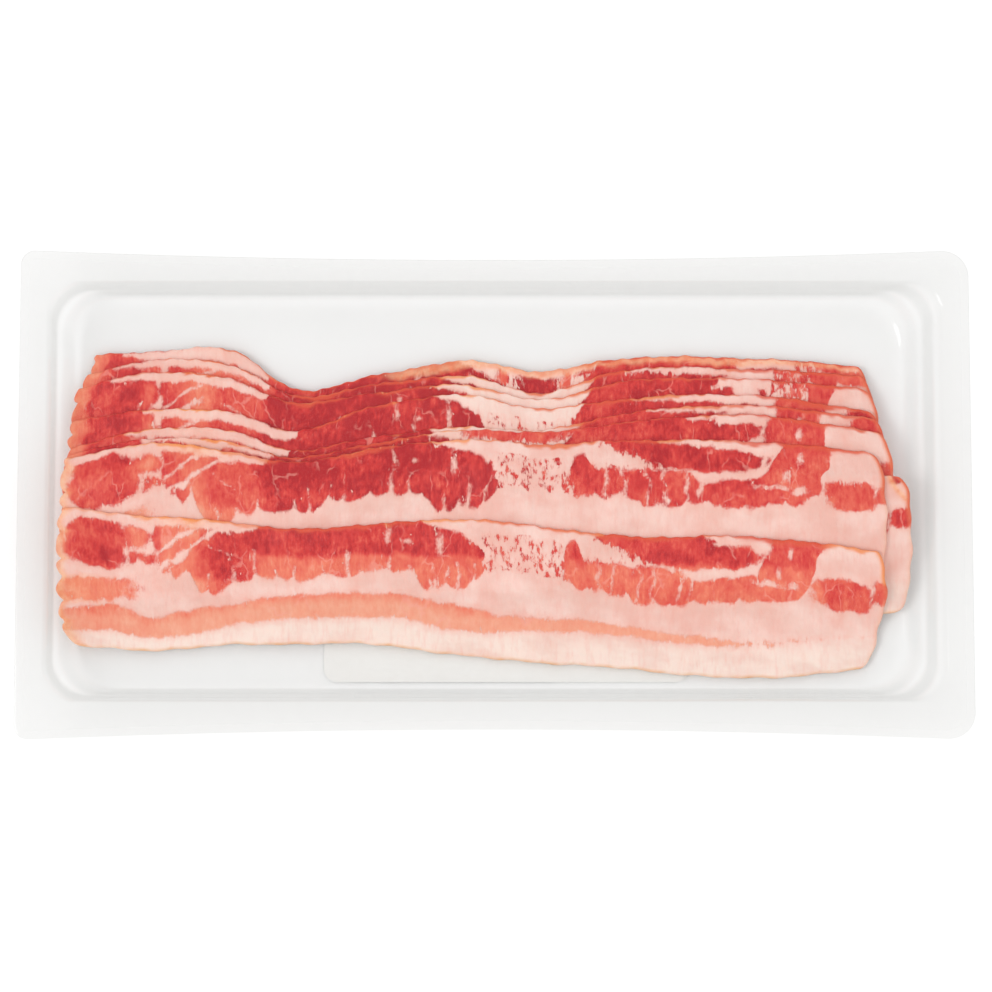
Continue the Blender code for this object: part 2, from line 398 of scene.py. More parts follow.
label = {
    "box": (-50.0, 57.0, -54.0, 14.0),
    "corner": 4.0,
    "low": 0.22,
    "high": 0.48,
    "paper": ((243, 241, 238), (250, 249, 247)),
    "grain": 900.0,
    "header": (176, 58, 60),  # a plain field on the rear half of the underside
    "bars": (150, 150, 152),  # plain bars on its front half
    "barsPerMetre": 180.0,
    "barShare": 0.4,
    "barsMiddle": -0.012,
    "barsHalf": 0.03,
    "barsRear": -0.004,
    "roughness": 0.55,
}


def labelMaterial():
    material = bpy.data.materials.new("labelPaper")
    tree = Tree(material)
    coords = tree.put("TexCoord").outputs["Object"]
    place = tree.put("SeparateXYZ", i0=coords)
    across, along = place.outputs[0], place.outputs[1]
    normal = tree.put("NewGeometry").outputs["Normal"]
    facesUp = tree.put("SeparateXYZ", i0=normal).outputs[2]
    under = tree.maths("LESS_THAN", facesUp, -0.5)
    paper = tree.blend(tree.noise(coords, label["grain"], 3.0), *(tone(*part) for part in label["paper"]))
    header = tree.maths("GREATER_THAN", along, 0.0)
    barRows = tree.maths("FRACT", tree.times(along, label["barsPerMetre"]))
    bars = tree.maths("LESS_THAN", barRows, label["barShare"])
    aside = tree.maths("ABSOLUTE", tree.maths("SUBTRACT", across, label["barsMiddle"]))
    bars = tree.times(bars, tree.maths("LESS_THAN", aside, label["barsHalf"]))
    bars = tree.times(bars, tree.maths("LESS_THAN", along, label["barsRear"]))
    printed = tree.blend(bars, paper, tone(*label["bars"]))
    printed = tree.blend(header, printed, tone(*label["header"]))
    colour = tree.blend(under, paper, printed)
    tree.finish(tree.put("BsdfPrincipled", Base_Color=colour,
                         Roughness=label["roughness"]))
    return material


labelRing = roundedOutline(label["box"], label["corner"], label["corner"])
labelPiece = loft("stuckLabel", [(labelRing, label["low"]), (labelRing, label["high"])], labelMaterial())
settlePiece(labelPiece, "label")
print("label made")

bacon = {
    "thick": 1.3,
    "gap": 0.1,
    "length": 238.0,
    "width": 43.0,
    "rimWidth": 42.0,  # the width that the rounding of the edges is measured on
    "stations": (-124, -101, -76, -61, -35, -8, 14, 35, 75, 113),
    "along": 340,
    "across": 54,
    "rimSteps": (0.0, 0.1, 0.28, 0.6),
    "rimEnd": 1.2,
    "round": 0.7,
    "weight": 0.022,
    "near": ((-1.2, 0), (1.2, 0), (0, -1.0), (0, 1.0)),  # places beside it that also hold it up
    "nearDrop": 0.2,
    "settleSteps": 1400,
    "rearWaves": (0.5, (31, 13, 6.3, 3.7)),
    "frontWaves": (0.4, (37, 17, 9)),
}

# From the bottom slice at the rear to the top one at the front; the seed is 10 more than the rank
# from the top. A strip is the pale edge near the left end: where it starts, where it ends and how
# wide it is. Late is a second one near the right end, with its first and last width, or none where
# they are 0. Extras are spots of one slice alone: centre, half sizes, and redness or, below 0, fat
slices = (
    {"name": "sliceNine", "node": "slice_9_rear", "seed": 19, "ends": (-119.5, 111.5), "deep": 0.8,
     "rear": (42.6, 43.4, 43.4, 33.1, 36.5, 40.8, 37.7, 41.2, 41.5, 38.8), "strip": (9, 53, 4.0),
     "late": (0, 1, 0, 0),
     "extras": ((122.5, 3.6, 1.8, 2.6, 0.5), (131.6, 4.8, 6.4, 3.2, 1.0), (139.4, 4.8, 1.6, 4.4, 0.5),
                (146.5, 2.4, 3.2, 1.0, 0.85), (224.0, 4.2, 6.0, 2.6, 0.55))},
    {"name": "sliceEight", "node": "slice_8", "seed": 18, "ends": (-122.0, 112.5),
     "rear": (35.7, 40.7, 38.7, 30.8, 33.6, 36.0, 31.0, 37.2, 38.0, 35.9), "strip": (9, 56, 2.3),
     "late": (160, 196, 0.7, 1.9),
     "extras": ((198.0, 2.6, 4.0, 3.0, -1.0), (226.0, 1.6, 6.0, 2.2, 0.6))},
    {"name": "sliceSeven", "node": "slice_7", "seed": 17, "ends": (-124.4, 113.5),
     "rear": (31.9, 36.9, 34.4, 28.4, 31.0, 33.2, 28.8, 33.8, 34.9, 31.6), "strip": (11, 58, 2.5),
     "late": (0, 1, 0, 0), "extras": ((199.5, 2.5, 4.0, 3.6, -1.0),)},
    {"name": "sliceSix", "node": "slice_6", "seed": 16, "ends": (-125.4, 114.5),
     "rear": (22.6, 25.5, 24.6, 19.6, 26.8, 30.0, 26.0, 28.6, 30.0, 24.9), "strip": (22, 68, 3.0),
     "late": (165, 203, 0.9, 1.9), "extras": ((235.5, 1.8, 6.4, 3.2, 0.9),)},
    {"name": "sliceFive", "node": "slice_5", "seed": 15, "ends": (-125.8, 115.5),
     "rear": (14.4, 19.6, 18.9, 13.8, 17.5, 20.4, 19.4, 23.9, 26.8, 22.6), "strip": (17, 66, 2.8),
     "late": (170, 204, 0.8, 1.6), "extras": ((236.5, 4.0, 7.0, 4.4, 0.85),)},
    {"name": "sliceFour", "node": "slice_4", "seed": 14, "ends": (-126.2, 117.0),
     "rear": (12.3, 16.7, 15.4, 11.4, 15.5, 19.4, 18.6, 21.2, 23.8, 18.5), "strip": (30, 62, 1.6),
     "late": (182, 206, 0.7, 2.2),
     "extras": ((134.0, 0.6, 16.0, 3.2, 0.62), (150.0, 0.4, 12.0, 1.4, 0.6))},
    {"name": "sliceThree", "node": "slice_3", "seed": 13, "ends": (-124.0, 122.2),
     "rear": (5.6, 7.9, 7.0, 5.0, 7.2, 9.6, 9.4, 8.4, 7.4, 5.9), "strip": (14, 58, 2.0),
     "width": 40.0, "shift": -4.0, "late": (170, 206, 0.4, 2.4),
     "extras": ((237.2, 1.0, 2.6, 2.0, 0.9),)},
    {"name": "sliceTwo", "node": "slice_2", "seed": 12, "ends": (-126.6, 114.5), "deep": 0.95,
     "rear": (10.8, 15.2, 12.6, 9.7, 13.7, 16.3, 14.9, 15.9, 15.8, 12.3), "strip": (13, 54, 2.1),
     "shift": -1.0, "late": (174, 206, 0.6, 2.4)},
    {"name": "sliceOne", "node": "slice_1_front", "seed": 11, "ends": (-127.4, 114.5), "deep": 0.25,
     "rear": (-3.8, -6.2, -8.0, -10.0, -8.6, -7.2, -9.4, -11.9, -12.3, -16.4), "strip": (13, 56.5, 2.4),
     "front": (-43.6, -44.9, -43.3, -43.1, -43.2, -46.6, -48.5, -50.0, -53.0, -49.9),
     "late": (188, 208.5, 1.4, 2.4)},
)

# Power is how square an end is, and depth how far its corners draw back
ends = {
    "span": 40,
    "leftOut": 0.2,
    "leftRearPower": 4.2,
    "leftRearDepth": 3.4,
    "leftFrontPower": 2.6,
    "leftFrontDepth": 8.0,
    "lump": 2.3,
    "lumpPitch": 6.4,
    "rightIn": 0.4,
    "rightPower": 3.4,
    "rightDepth": 7.0,
    "topRightDepth": 5.0,
    "topSlant": 7.0,
    "topSlantFrom": 0.55,
}


def rankOf(form):
    return form["seed"] - 10  # 1 is the top slice and 9 the bottom one


def rearEdge(form, x):
    return eased(x, bacon["stations"], form["rear"]) + ripple(x, form["seed"], *bacon["rearWaves"])


def frontEdge(form, x):
    if "front" in form:
        low = eased(x, bacon["stations"], form["front"])
    else:
        # A hidden front edge runs straighter than the rear one
        evened = np.polyval(np.polyfit(bacon["stations"], form["rear"], 2), bacon["stations"])
        hidden = 0.35 * np.array(form["rear"]) + 0.65 * evened - form.get("width", bacon["width"])
        low = eased(x, bacon["stations"], hidden)
    return low + ripple(x, form["seed"] + 50, *bacon["frontWaves"])


def endBend(t, power):
    return 1.0 - (1.0 - np.abs(2 * t - 1) ** power) ** (1 / power)


def startX(form, t):
    down = t * ends["span"]
    shifted = down + form["seed"] * 1.7 + ripple(down, form["seed"] + 70, 1.2, (15, 9))
    lumps = ends["lump"] * (1 - np.abs(np.sin(math.pi * shifted / ends["lumpPitch"])) ** 0.55)
    rearHalf = ends["leftRearDepth"] * endBend(t, ends["leftRearPower"])
    frontHalf = ends["leftFrontDepth"] * endBend(t, ends["leftFrontPower"])
    drawn = np.where(t > 0.5, rearHalf, frontHalf)
    return form["ends"][0] - ends["leftOut"] + drawn + lumps * (1 - np.abs(2 * t - 1) ** 9)


def endX(form, t):
    down = t * ends["span"]
    lumps = ripple(down, form["seed"] + 90, 0.5, (19, 9)) * (1 - np.abs(2 * t - 1) ** 4)
    top = rankOf(form) == 1
    drawn = ends["topRightDepth" if top else "rightDepth"] * endBend(t, ends["rightPower"])
    slant = ends["topSlant"] * np.clip(ends["topSlantFrom"] - t, 0, 1) if top else 0.0
    return form["ends"][1] - ends["rightIn"] - drawn - slant + lumps


def edgeSpaced(count, length):
    # Even steps, with closer ones at the two ends where the edge rounds over
    close = np.array(bacon["rimSteps"]) / length
    even = np.linspace(bacon["rimEnd"] / length, 1 - bacon["rimEnd"] / length, count)
    return np.concatenate([close, even, 1 - close[::-1]])


def planPoints(form, along, across):
    s, t = np.meshgrid(along, across, indexing="ij")
    left, right = startX(form, t), endX(form, t)
    x = left + (right - left) * s
    low, high = frontEdge(form, x), rearEdge(form, x)
    return x, low + (high - low) * t, high, low


field = {"step": 0.5, "halfX": 140.0, "halfY": 75.0}
fieldX = np.arange(-field["halfX"], field["halfX"] + 0.1, field["step"])
fieldY = np.arange(-field["halfY"], field["halfY"] + 0.1, field["step"])
gridX, gridY = np.meshgrid(fieldX, fieldY, indexing="ij")


def roundedDistance(x, y, ring):
    left, right, front, rear, radius = ring[:5]
    dx = np.abs(x - (left + right) / 2) - (right - left) / 2 + radius
    dy = np.abs(y - (front + rear) / 2) - (rear - front) / 2 + radius
    outside = np.hypot(np.maximum(dx, 0), np.maximum(dy, 0))
    return outside + np.minimum(np.maximum(dx, dy), 0) - radius


def trayHeights():
    rings = [(ring, ring[5]) for ring in tray["rings"]]
    rings.append((tray["panelOuter"], tray["floor"]))
    rings.append((tray["panelInner"], tray["panelRest"]))
    height = np.full(gridX.shape, tray["top"])
    for (outer, high), (inner, low) in zip(rings, rings[1:]):
        inside = -roundedDistance(gridX, gridY, outer)
        beyond = roundedDistance(gridX, gridY, inner)
        part = np.clip(inside / np.maximum(inside + beyond, 1e-6), 0, 1)
        height = np.where(inside > 0, high + (low - high) * np.where(beyond > 0, part, 1.0), height)
    return height


def bilinear(grid, i, j, ps, pt):
    near = grid[i, j] * (1 - ps) + grid[i + 1, j] * ps
    far = grid[i, j + 1] * (1 - ps) + grid[i + 1, j + 1] * ps
    return near * (1 - pt) + far * pt


def sample(heights, x, y):
    fx = np.clip((x + field["halfX"]) / field["step"], 0, len(fieldX) - 1.001)
    fy = np.clip((y + field["halfY"]) / field["step"], 0, len(fieldY) - 1.001)
    ix, iy = fx.astype(int), fy.astype(int)
    return bilinear(heights, ix, iy, fx - ix, fy - iy)


def around(grid):
    padded = np.pad(grid, 1, mode="edge")
    return padded[:-2, 1:-1] + padded[2:, 1:-1] + padded[1:-1, :-2] + padded[1:-1, 2:]


def finer(coarse, fine):
    # Weights that carry values on even steps to a finer spacing, along smooth curves
    rows = np.zeros((len(fine), coarse))
    place = np.clip(fine * (coarse - 1), 0, coarse - 1.0001)
    index = place.astype(int)
    part = place - index
    for offset, weight in (
        (-1, -0.5 * part + part ** 2 - 0.5 * part ** 3),
        (0, 1 - 2.5 * part ** 2 + 1.5 * part ** 3),
        (1, 0.5 * part + 2 * part ** 2 - 1.5 * part ** 3),
        (2, -0.5 * part ** 2 + 0.5 * part ** 3),
    ):
        column = np.clip(index + offset, 0, coarse - 1)
        np.add.at(rows, (np.arange(len(fine)), column), weight)
    return rows


def drape(form, heights, along, across):
    # Lets a slice down on what lies below: smoothed, weighed down, kept clear of it
    coarse = (97, 21)
    x, y, _, _ = planPoints(form, np.linspace(0, 1, coarse[0]), np.linspace(0, 1, coarse[1]))
    under = sample(heights, x, y)
    for dx, dy in bacon["near"]:
        under = np.maximum(under, sample(heights, x + dx, y + dy) - bacon["nearDrop"])
    under = under + bacon["gap"]
    height = under.copy()
    for turn in range(bacon["settleSteps"]):
        height = 0.5 * height + 0.125 * around(height) - bacon["weight"]
        height = np.maximum(height, under)
    height = finer(coarse[0], along) @ height @ finer(coarse[1], across).T
    x, y, _, _ = planPoints(form, along, across)
    floor = sample(heights, x, y) + bacon["gap"] * 0.5
    for turn in range(3):
        height = np.maximum(height, floor)
        height = 0.5 * height + 0.125 * around(height)
    return np.maximum(height, floor)


# The pattern of lean and fat. u runs along a slice from its left end, a from its rear edge and
# b from its front edge, in millimetres. Every shape gives how far inside it a place is

def band(u, a, shape):
    inside = np.minimum(a - easedLine(u, shape["top"]), easedLine(u, shape["bottom"]) - a)
    return np.minimum(inside, np.minimum(u - shape["top"][0][0], shape["top"][-1][0] - u))


def blob(u, a, centreU, centreA, halfU, halfA, power=2.6):
    reach = (np.abs((u - centreU) / halfU) ** power + np.abs((a - centreA) / halfA) ** power)
    return (1 - reach ** (1 / power)) * min(halfU, halfA)


def glow(u, a, centreU, centreA, reachU, reachA):
    return np.exp(-((u - centreU) / reachU) ** 2 - ((a - centreA) / reachA) ** 2)


def seam(u, a, points, half):
    nearest = np.full(u.shape, 1e3)
    for (u0, a0), (u1, a1) in zip(points, points[1:]):
        length = (u1 - u0) ** 2 + (a1 - a0) ** 2
        part = np.clip(((u - u0) * (u1 - u0) + (a - a0) * (a1 - a0)) / length, 0, 1)
        nearest = np.minimum(nearest, np.hypot(u - u0 - part * (u1 - u0), a - a0 - part * (a1 - a0)))
    return nearest - half


def lobed(u, seed, size, depth):
    shifted = u + ripple(u, seed, 1.8, (23, 11))
    return depth * np.abs(np.sin(math.pi * shifted / size)) ** 0.6


def notched(u, up, seed, size, reach):
    # Thin clefts of fat that rise between the lobes, some further than others
    shifted = u + ripple(u, seed, 1.8, (23, 11)) + ripple(up, seed + 1, 0.3, (7, 4))
    cleft = np.abs(np.sin(math.pi * shifted / size)) * size / math.pi
    rise = reach * (0.5 + ripple(u, seed + 2, 0.5, (13, 29)))
    return np.maximum(cleft - 0.30 * np.clip(1 - up / np.maximum(rise, 0.1), 0, 1), up - rise)


muscle = {
    "top": ((30.2, 14.6), (35, 12.3), (39.5, 8.7), (44, 5.6), (47, 3.7), (50, 2.8), (56, 2.0),
        (58.5, 1.0), (60.5, -1.2), (70, -1.2), (100, -1.2), (105, -1.0), (108, 0.9), (112, 2.2),
        (117, 3.4), (121, 6.0), (123.4, 8.6), (125.2, 13.0)),
    "bottom": ((30.2, 15.2), (34, 16.6), (39.5, 17.0), (41, 20.2), (44, 21.0), (50, 19.4),
        (53, 17.0), (58, 14.6), (66, 14.2), (72, 14.6), (77, 12.6), (84, 14.8), (89, 13.4),
        (99, 14.2), (104, 15.2), (106, 17.8), (115, 19.2), (120, 19.0), (123, 17.0),
        (125.2, 13.4)),
}
segments = {
    "top": ((146.8, 9.0), (148, 4.6), (149.5, 3.4), (152, 3.6), (153.6, 7.2), (157, 8.0),
        (162, 8.6), (166, 9.0), (170, 8.6), (175, 9.2), (181, 10.2), (187, 14.0)),
    "bottom": ((146.8, 14.6), (152, 15.8), (157, 16.4), (162, 16.6), (168, 18.6), (173, 19.2),
        (180, 19.0), (187, 18.8)),
    "seams": (157.4, 162.2, 168.9, 173.7, 180.6, 184.3),
    "seamHalf": 0.22,
}
upperLean = {
    "top": ((157.0, 1.0), (160, -1.2), (170, -1.2), (186, -1.2), (191, -0.6)),
    "bottom": ((157.0, 1.6), (161, 3.0), (165.3, 4.6), (168.8, 6.4), (172.6, 7.8), (180, 8.4),
        (191, 1.6)),
}
lens = {
    "top": ((171, 4.0), (178, 2.4), (186, 1.4), (190, 2.8), (200.4, 3.1), (207, 4.8)),
    "bottom": ((171, 7.2), (178.4, 9.0), (184, 9.9), (192, 9.6), (200.4, 8.7), (205, 7.0),
        (207, 5.4)),
}
block = {
    "top": ((184, 15.5), (187, 13.2), (191.6, 12.2), (201.8, 10.8), (205, 9.2), (206.6, 7.2),
        (208, 4.6), (209.5, 0.0), (211, -1.2), (219, -1.2), (222.8, -1.0)),
    "bottom": ((184, 18.6), (191.6, 19.6), (203.3, 18.6), (212, 17.8), (216, 17.0), (218.6, 14.6),
        (220.4, 10.5), (221.6, 5.0), (222.8, 1.6)),
}
stripe = {
    "top": ((0, 10.6), (9, 11.6), (20.5, 12.2), (23.4, 10.6), (39.5, 11.2), (54, 11.8), (60, 13.2),
        (72, 14.1), (89, 14.5), (101, 15.2), (115, 14.4), (130, 12.8), (150, 13.4), (171, 12.2),
        (189, 11.5), (199, 11.0), (218, 11.0), (238, 9.4)),
    "bottom": ((0, 4.2), (10, 4.4), (18, 4.6), (22, 3.9), (38, 3.6), (50, 5.0), (63, 6.8),
        (86, 6.9), (101, 8.0), (112, 6.6), (124, 6.8), (136, 8.4), (159, 9.2), (174, 8.9),
        (200, 8.4), (222, 9.1), (238, 8.6)),
}
# What the slices further down show of the muscle: it reaches their rear edges in more places
lowerLeft = {
    "top": ((40, 5), (46, 1.6), (56, 0), (64, -1.2)),
    "bottom": ((40, 9), (46, 9), (56, 9), (64, 9)),
}
lowerRight = {
    "top": ((205.5, 4), (206.5, -1.2), (218, -1.2), (221, -1.2)),
    "bottom": ((205.5, 9), (208, 12), (218, 12), (221, 8)),
}
lowerMiddle = {
    "top": ((147, 4.4), (150, 1.6), (153, -1.2), (190, -1.2)),
    "bottom": ((147, 5.0), (151, 6.5), (158, 8.0), (190, 8.4)),
}
# Centre along and down, half sizes, and how square each spot is where that isn't the usual
leanSpots = (
    (11.4, 9.2, 9.4, 7.1, 2.7), (22.4, 6.6, 4.4, 2.9), (21.8, 12.2, 1.7, 1.9),
    (26.4, 12.0, 3.0, 1.3), (228.6, 14.0, 8.4, 4.3), (240.0, 12.2, 4.2, 3.1),
)
lowerSpot = (12.5, 6.0, 12.4, 9.0, 3.0)
tongue = {"centre": (9.0, 24.0), "half": (14.4, 3.4), "colourHalf": (15.4, 4.2), "tilt": 0.13}
fatSpots = (
    (215.0, 4.2, 0.8, 1.2), (207.7, 13.1, 3.4, 0.6), (214.7, 13.9, 1.2, 0.8),
    (96.5, 3.8, 0.5, 1.4), (111.7, 7.0, 0.6, 1.8), (102.4, 5.6, 0.7, 0.5), (211, 9.5, 0.7, 1.3),
)
fatSeams = (
    (((19.9, 9.6), (20.3, 12.0), (19.8, 16.5)), 0.45),
    (((45.5, 7.4), (48.8, 8.8), (51.6, 11.0)), 0.05),
    (((116.4, 13.0), (117.0, 16.0), (116.8, 21.0)), 0.25),
    (((110.6, 16.6), (110.9, 21.0)), 0.1),
    (((236.4, 9.0), (235.4, 13.0), (236.2, 17.0)), 0.2),
)
redGlows = (
    (0.22, (16, 4.6, 4.5, 2.2)), (0.24, (14, 13, 6, 2.2)), (-0.34, (23, 6.6, 3, 4)),
)


def tongueShape(u, a, half):
    # The orange tongue at the left end, which slants a little
    return blob(u, a + tongue["tilt"] * u, *tongue["centre"], *half, 3.4)


def wedges(u, a):
    # Two wedges of lean between slanting seams, right of the rounded muscle at the left end
    firstSeam = 11.5 - (u - 27.8) * 0.73
    secondSeam = 14.1 - (u - 30.1) * 0.66
    upper = np.minimum(np.minimum(a - 1.2, firstSeam - 0.5 - a), u - 27.0 - (a - 3) * 0.1)
    upper = np.minimum(upper, 42 - u)
    lower = np.minimum(a - np.maximum(firstSeam + 0.45, 2.4), secondSeam - 0.45 - a)
    return np.maximum(upper, np.minimum(np.minimum(lower, u - 29.0), 47.5 - u))


def leanShapes(u, a, seed, rank):
    scallop = lobed(u, seed + 1, 6.4, 1.7) - 1.0
    lobedA = a - scallop * smooth(a, 9, 13)
    main = band(u, lobedA, muscle)
    up = easedLine(u, muscle["bottom"]) + scallop - a
    main = np.minimum(main, notched(u, up, seed + 1, 6.4, 7.0))
    parts = band(u, lobedA, segments)
    for place in segments["seams"]:
        wander = ripple(a, seed + int(place), 0.5, (9, 5))
        parts = np.minimum(parts, np.abs(u - place - wander) - segments["seamHalf"])
    shapes = [main, parts, wedges(u, a), tongueShape(u, a, tongue["half"]), band(u, a, upperLean),
              band(u, a, lens), band(u, a - scallop * smooth(a, 12, 16), block)]
    shapes += [blob(u, a, *spot) for spot in leanSpots]
    if rank > 2:
        shapes += [blob(u, a, *lowerSpot), band(u, a, lowerLeft), band(u, a, lowerRight)]
    if rank > 3:
        shapes.append(band(u, a, lowerMiddle))
    return np.maximum.reduce(shapes)


def foldedStripe(u, b, stripeLow, seed):
    # The pale salmon stripe along the front, with a serrated lower edge, thinner to the right
    shape = band(u, -b, {"top": [(p, -v) for p, v in stripe["top"]],
                         "bottom": [(p, -v - 0.4) for p, v in stripe["bottom"]]})
    shape = np.minimum(shape, b - stripeLow + lobed(u, seed + 3, 6.6, 1.5) - 0.8)
    return shape - 0.9 * smooth(u, 192, 206) - 0.5 * smooth(u, 216, 230)


def paleStrip(u, a, start, end, first, last):
    part = np.clip((u - start) / (end - start), 0, 1)
    half = (first + (last - first) * part) / 2 * np.sqrt(1 - np.abs(2 * part - 1) ** 5)
    half = half * smooth(part, -0.1, 0.3)
    return np.where((u > start) & (u < end), half - np.abs(a - 0.3 - half), -9.0)


def seamsCut(lean, u, a, rank):
    lag = 0 if rank == 1 else 2.5
    hook = ((209.6 - lag, -1.0), (208.0 - lag, 4.0), (204.5, 7.4), (199.0, 10.2))
    for points, half in (*fatSeams, (hook, 0.3 + 0.1 * lag)):
        lean = np.minimum(lean, seam(u, a, points, half))
    for spot in fatSpots:
        lean = np.minimum(lean, -blob(u, a, *spot))
    return lean


def mingledShare(u, a, rank):
    # Where lean and fat are mingled in specks
    marble = plateau(u, 119, 124, 146, 151) * plateau(a, 2.0, 3.6, 14.0, 17.0)
    marble = np.maximum(marble, 0.9 * plateau(u, 150, 156, 172, 180) * plateau(a, 0.8, 1.8, 7.5, 9))
    return marble * 0.985 if rank == 6 else marble  # a little plainer on the sixth slice


def leanRedness(form, u, a, own):
    # From pale salmon at 0 to deep red at 1
    rank, deep = rankOf(form), form.get("deep", 1.0)
    redness = np.full(u.shape, 0.61 + 0.16 * deep)
    line = eased(u, (58, 72, 86, 101, 110, 116, 125), (8.0, 8.2, 8.2, 9.4, 10.4, 10.0, 10.8))
    low = smooth(a, line - 1.0, line + 1.2)
    body = plateau(u, 54, 60, 124, 127)
    redness += body * ((1 - low) * 0.16 + low * (-0.36 + 0.50 * deep))
    knuckle = (0.12 if rank == 1 else -0.16) - 0.24 * smooth(a, 15.5, 18.5)
    knuckle = knuckle - 0.2 * fall(u, 36, 46)
    redness += plateau(u, 33, 42, 54, 60) * knuckle
    for amount, place in redGlows:
        redness += amount * glow(u, a, *place)
    redness -= 0.30 * (1 - 0.5 * deep) * plateau(u, 28, 31, 38, 46)
    redness -= 0.24 * (1 - 0.8 * deep) * plateau(u, 146, 148, 222, 224) * smooth(a, 7, 10)
    redness += 0.12 * plateau(u, 160, 168, 206, 209) * fall(a, 8, 10)
    redness -= (0.12 if rank == 2 else 0.02) * smooth(u, 205, 209)
    redness -= 0.06 * smooth(u, 220, 223)
    return np.where(own > 0, own, redness)


def orangeShare(form, u, a, plainA, toLeft, toRight, tongueArea):
    # Orange rind: at spots of the rear edge, round the left end and at the right end
    seed, rank = form["seed"], rankOf(form)
    orange = 0.7 * np.exp(-((u - 38) / 9) ** 2) * fall(a, 0.6, 4.5) * (0.2 if rank > 2 else 1.0)
    leftRind = fall(toLeft, 0.8, 4.0 + swirl(plainA, plainA * 0, seed + 9, 9, 1.6))
    orange = np.maximum(orange, (0.3 if rank > 3 else 0.85) * leftRind)
    if rank == 9:  # a broad soft rim past the hollow in its rear edge
        broad = 0.9 + 1.2 * np.exp(-((u - 105) / 16) ** 2) + 0.7 * smooth(u, 150, 160)
        orange = np.maximum(orange, 0.8 * smooth(u, 84, 92) * fall(a, broad, broad + 1.2))
    orange = np.maximum(orange, 0.4 * tongueArea * fall(u, 4, 20))
    orange = np.maximum(orange, fall(toRight, 0.3, 1.7) * (0.8 - 0.5 * smooth(a, 8, 14)))
    if rank == 3:
        curl = seam(u, a, ((234, 1.0), (237, 3.6), (240, 6.6), (246, 8.2)), 0)
        orange = np.maximum(orange, np.exp(-(curl / 0.75) ** 2))
    return orange


def rearRimShare(form, u, a, toRight):
    # The thin coloured rim along the rear edge, and how red it is along its length
    seed, rank = form["seed"], rankOf(form)
    start, end, _ = form["strip"]
    heat = eased(u, (0, 12, 26, 34, 46, 56, 64, 90, 108, 122, 140, 162, 206, 212, 230, 245),
                 (0.5, 0.5, 0.8, 1.0, 1.0, 0.7, 0.9, 0.85, 0.8, 0.9, 0.9, 0.95, 0.9, 1.0, 0.9, 0.9))
    wide = eased(u, (0, 30, 50, 62, 110, 160, 200, 208, 228, 240),
                 (0.5, 0.7, 0.6, 1.0, 0.7, 1.0, 0.9, 1.6, 1.3, 0.7)) * (1.0 if rank == 1 else 0.8)
    if rank > 2:
        wide = wide * (1 - 0.6 * plateau(u, start, start + 4, end, end + 4))
    if rank == 9:
        heat = heat * (1 - 0.6 * plateau(u, 84, 92, 142, 148))
    wide = wide + (0.1 if rank > 2 else 0.35)
    rim = fall(a + swirl(u, a, seed + 12, 5, 0.15), 0.35 * wide, wide)
    nearRear = fall(a, 9, 15)
    heat = np.maximum(heat, fall(toRight, 0.3, 1.7) * 0.8 * nearRear)
    rim = np.maximum(rim, fall(toRight, 0.5, 1.6) * nearRear)
    red = eased(u, (0, 40, 62, 90, 118, 128, 150, 176, 204, 240),
                (0.4, 0.1, 0.6, 0.5, 0.2, 0.6, 0.6, 0.4, 1.0, 0.8))
    if rank > 6:
        red = np.maximum(red, 0.7 * fall(u, 70, 90))
    if rank == 1:
        red = red * (1 - 0.75 * smooth(u, 220, 228))
    return rim * heat, red


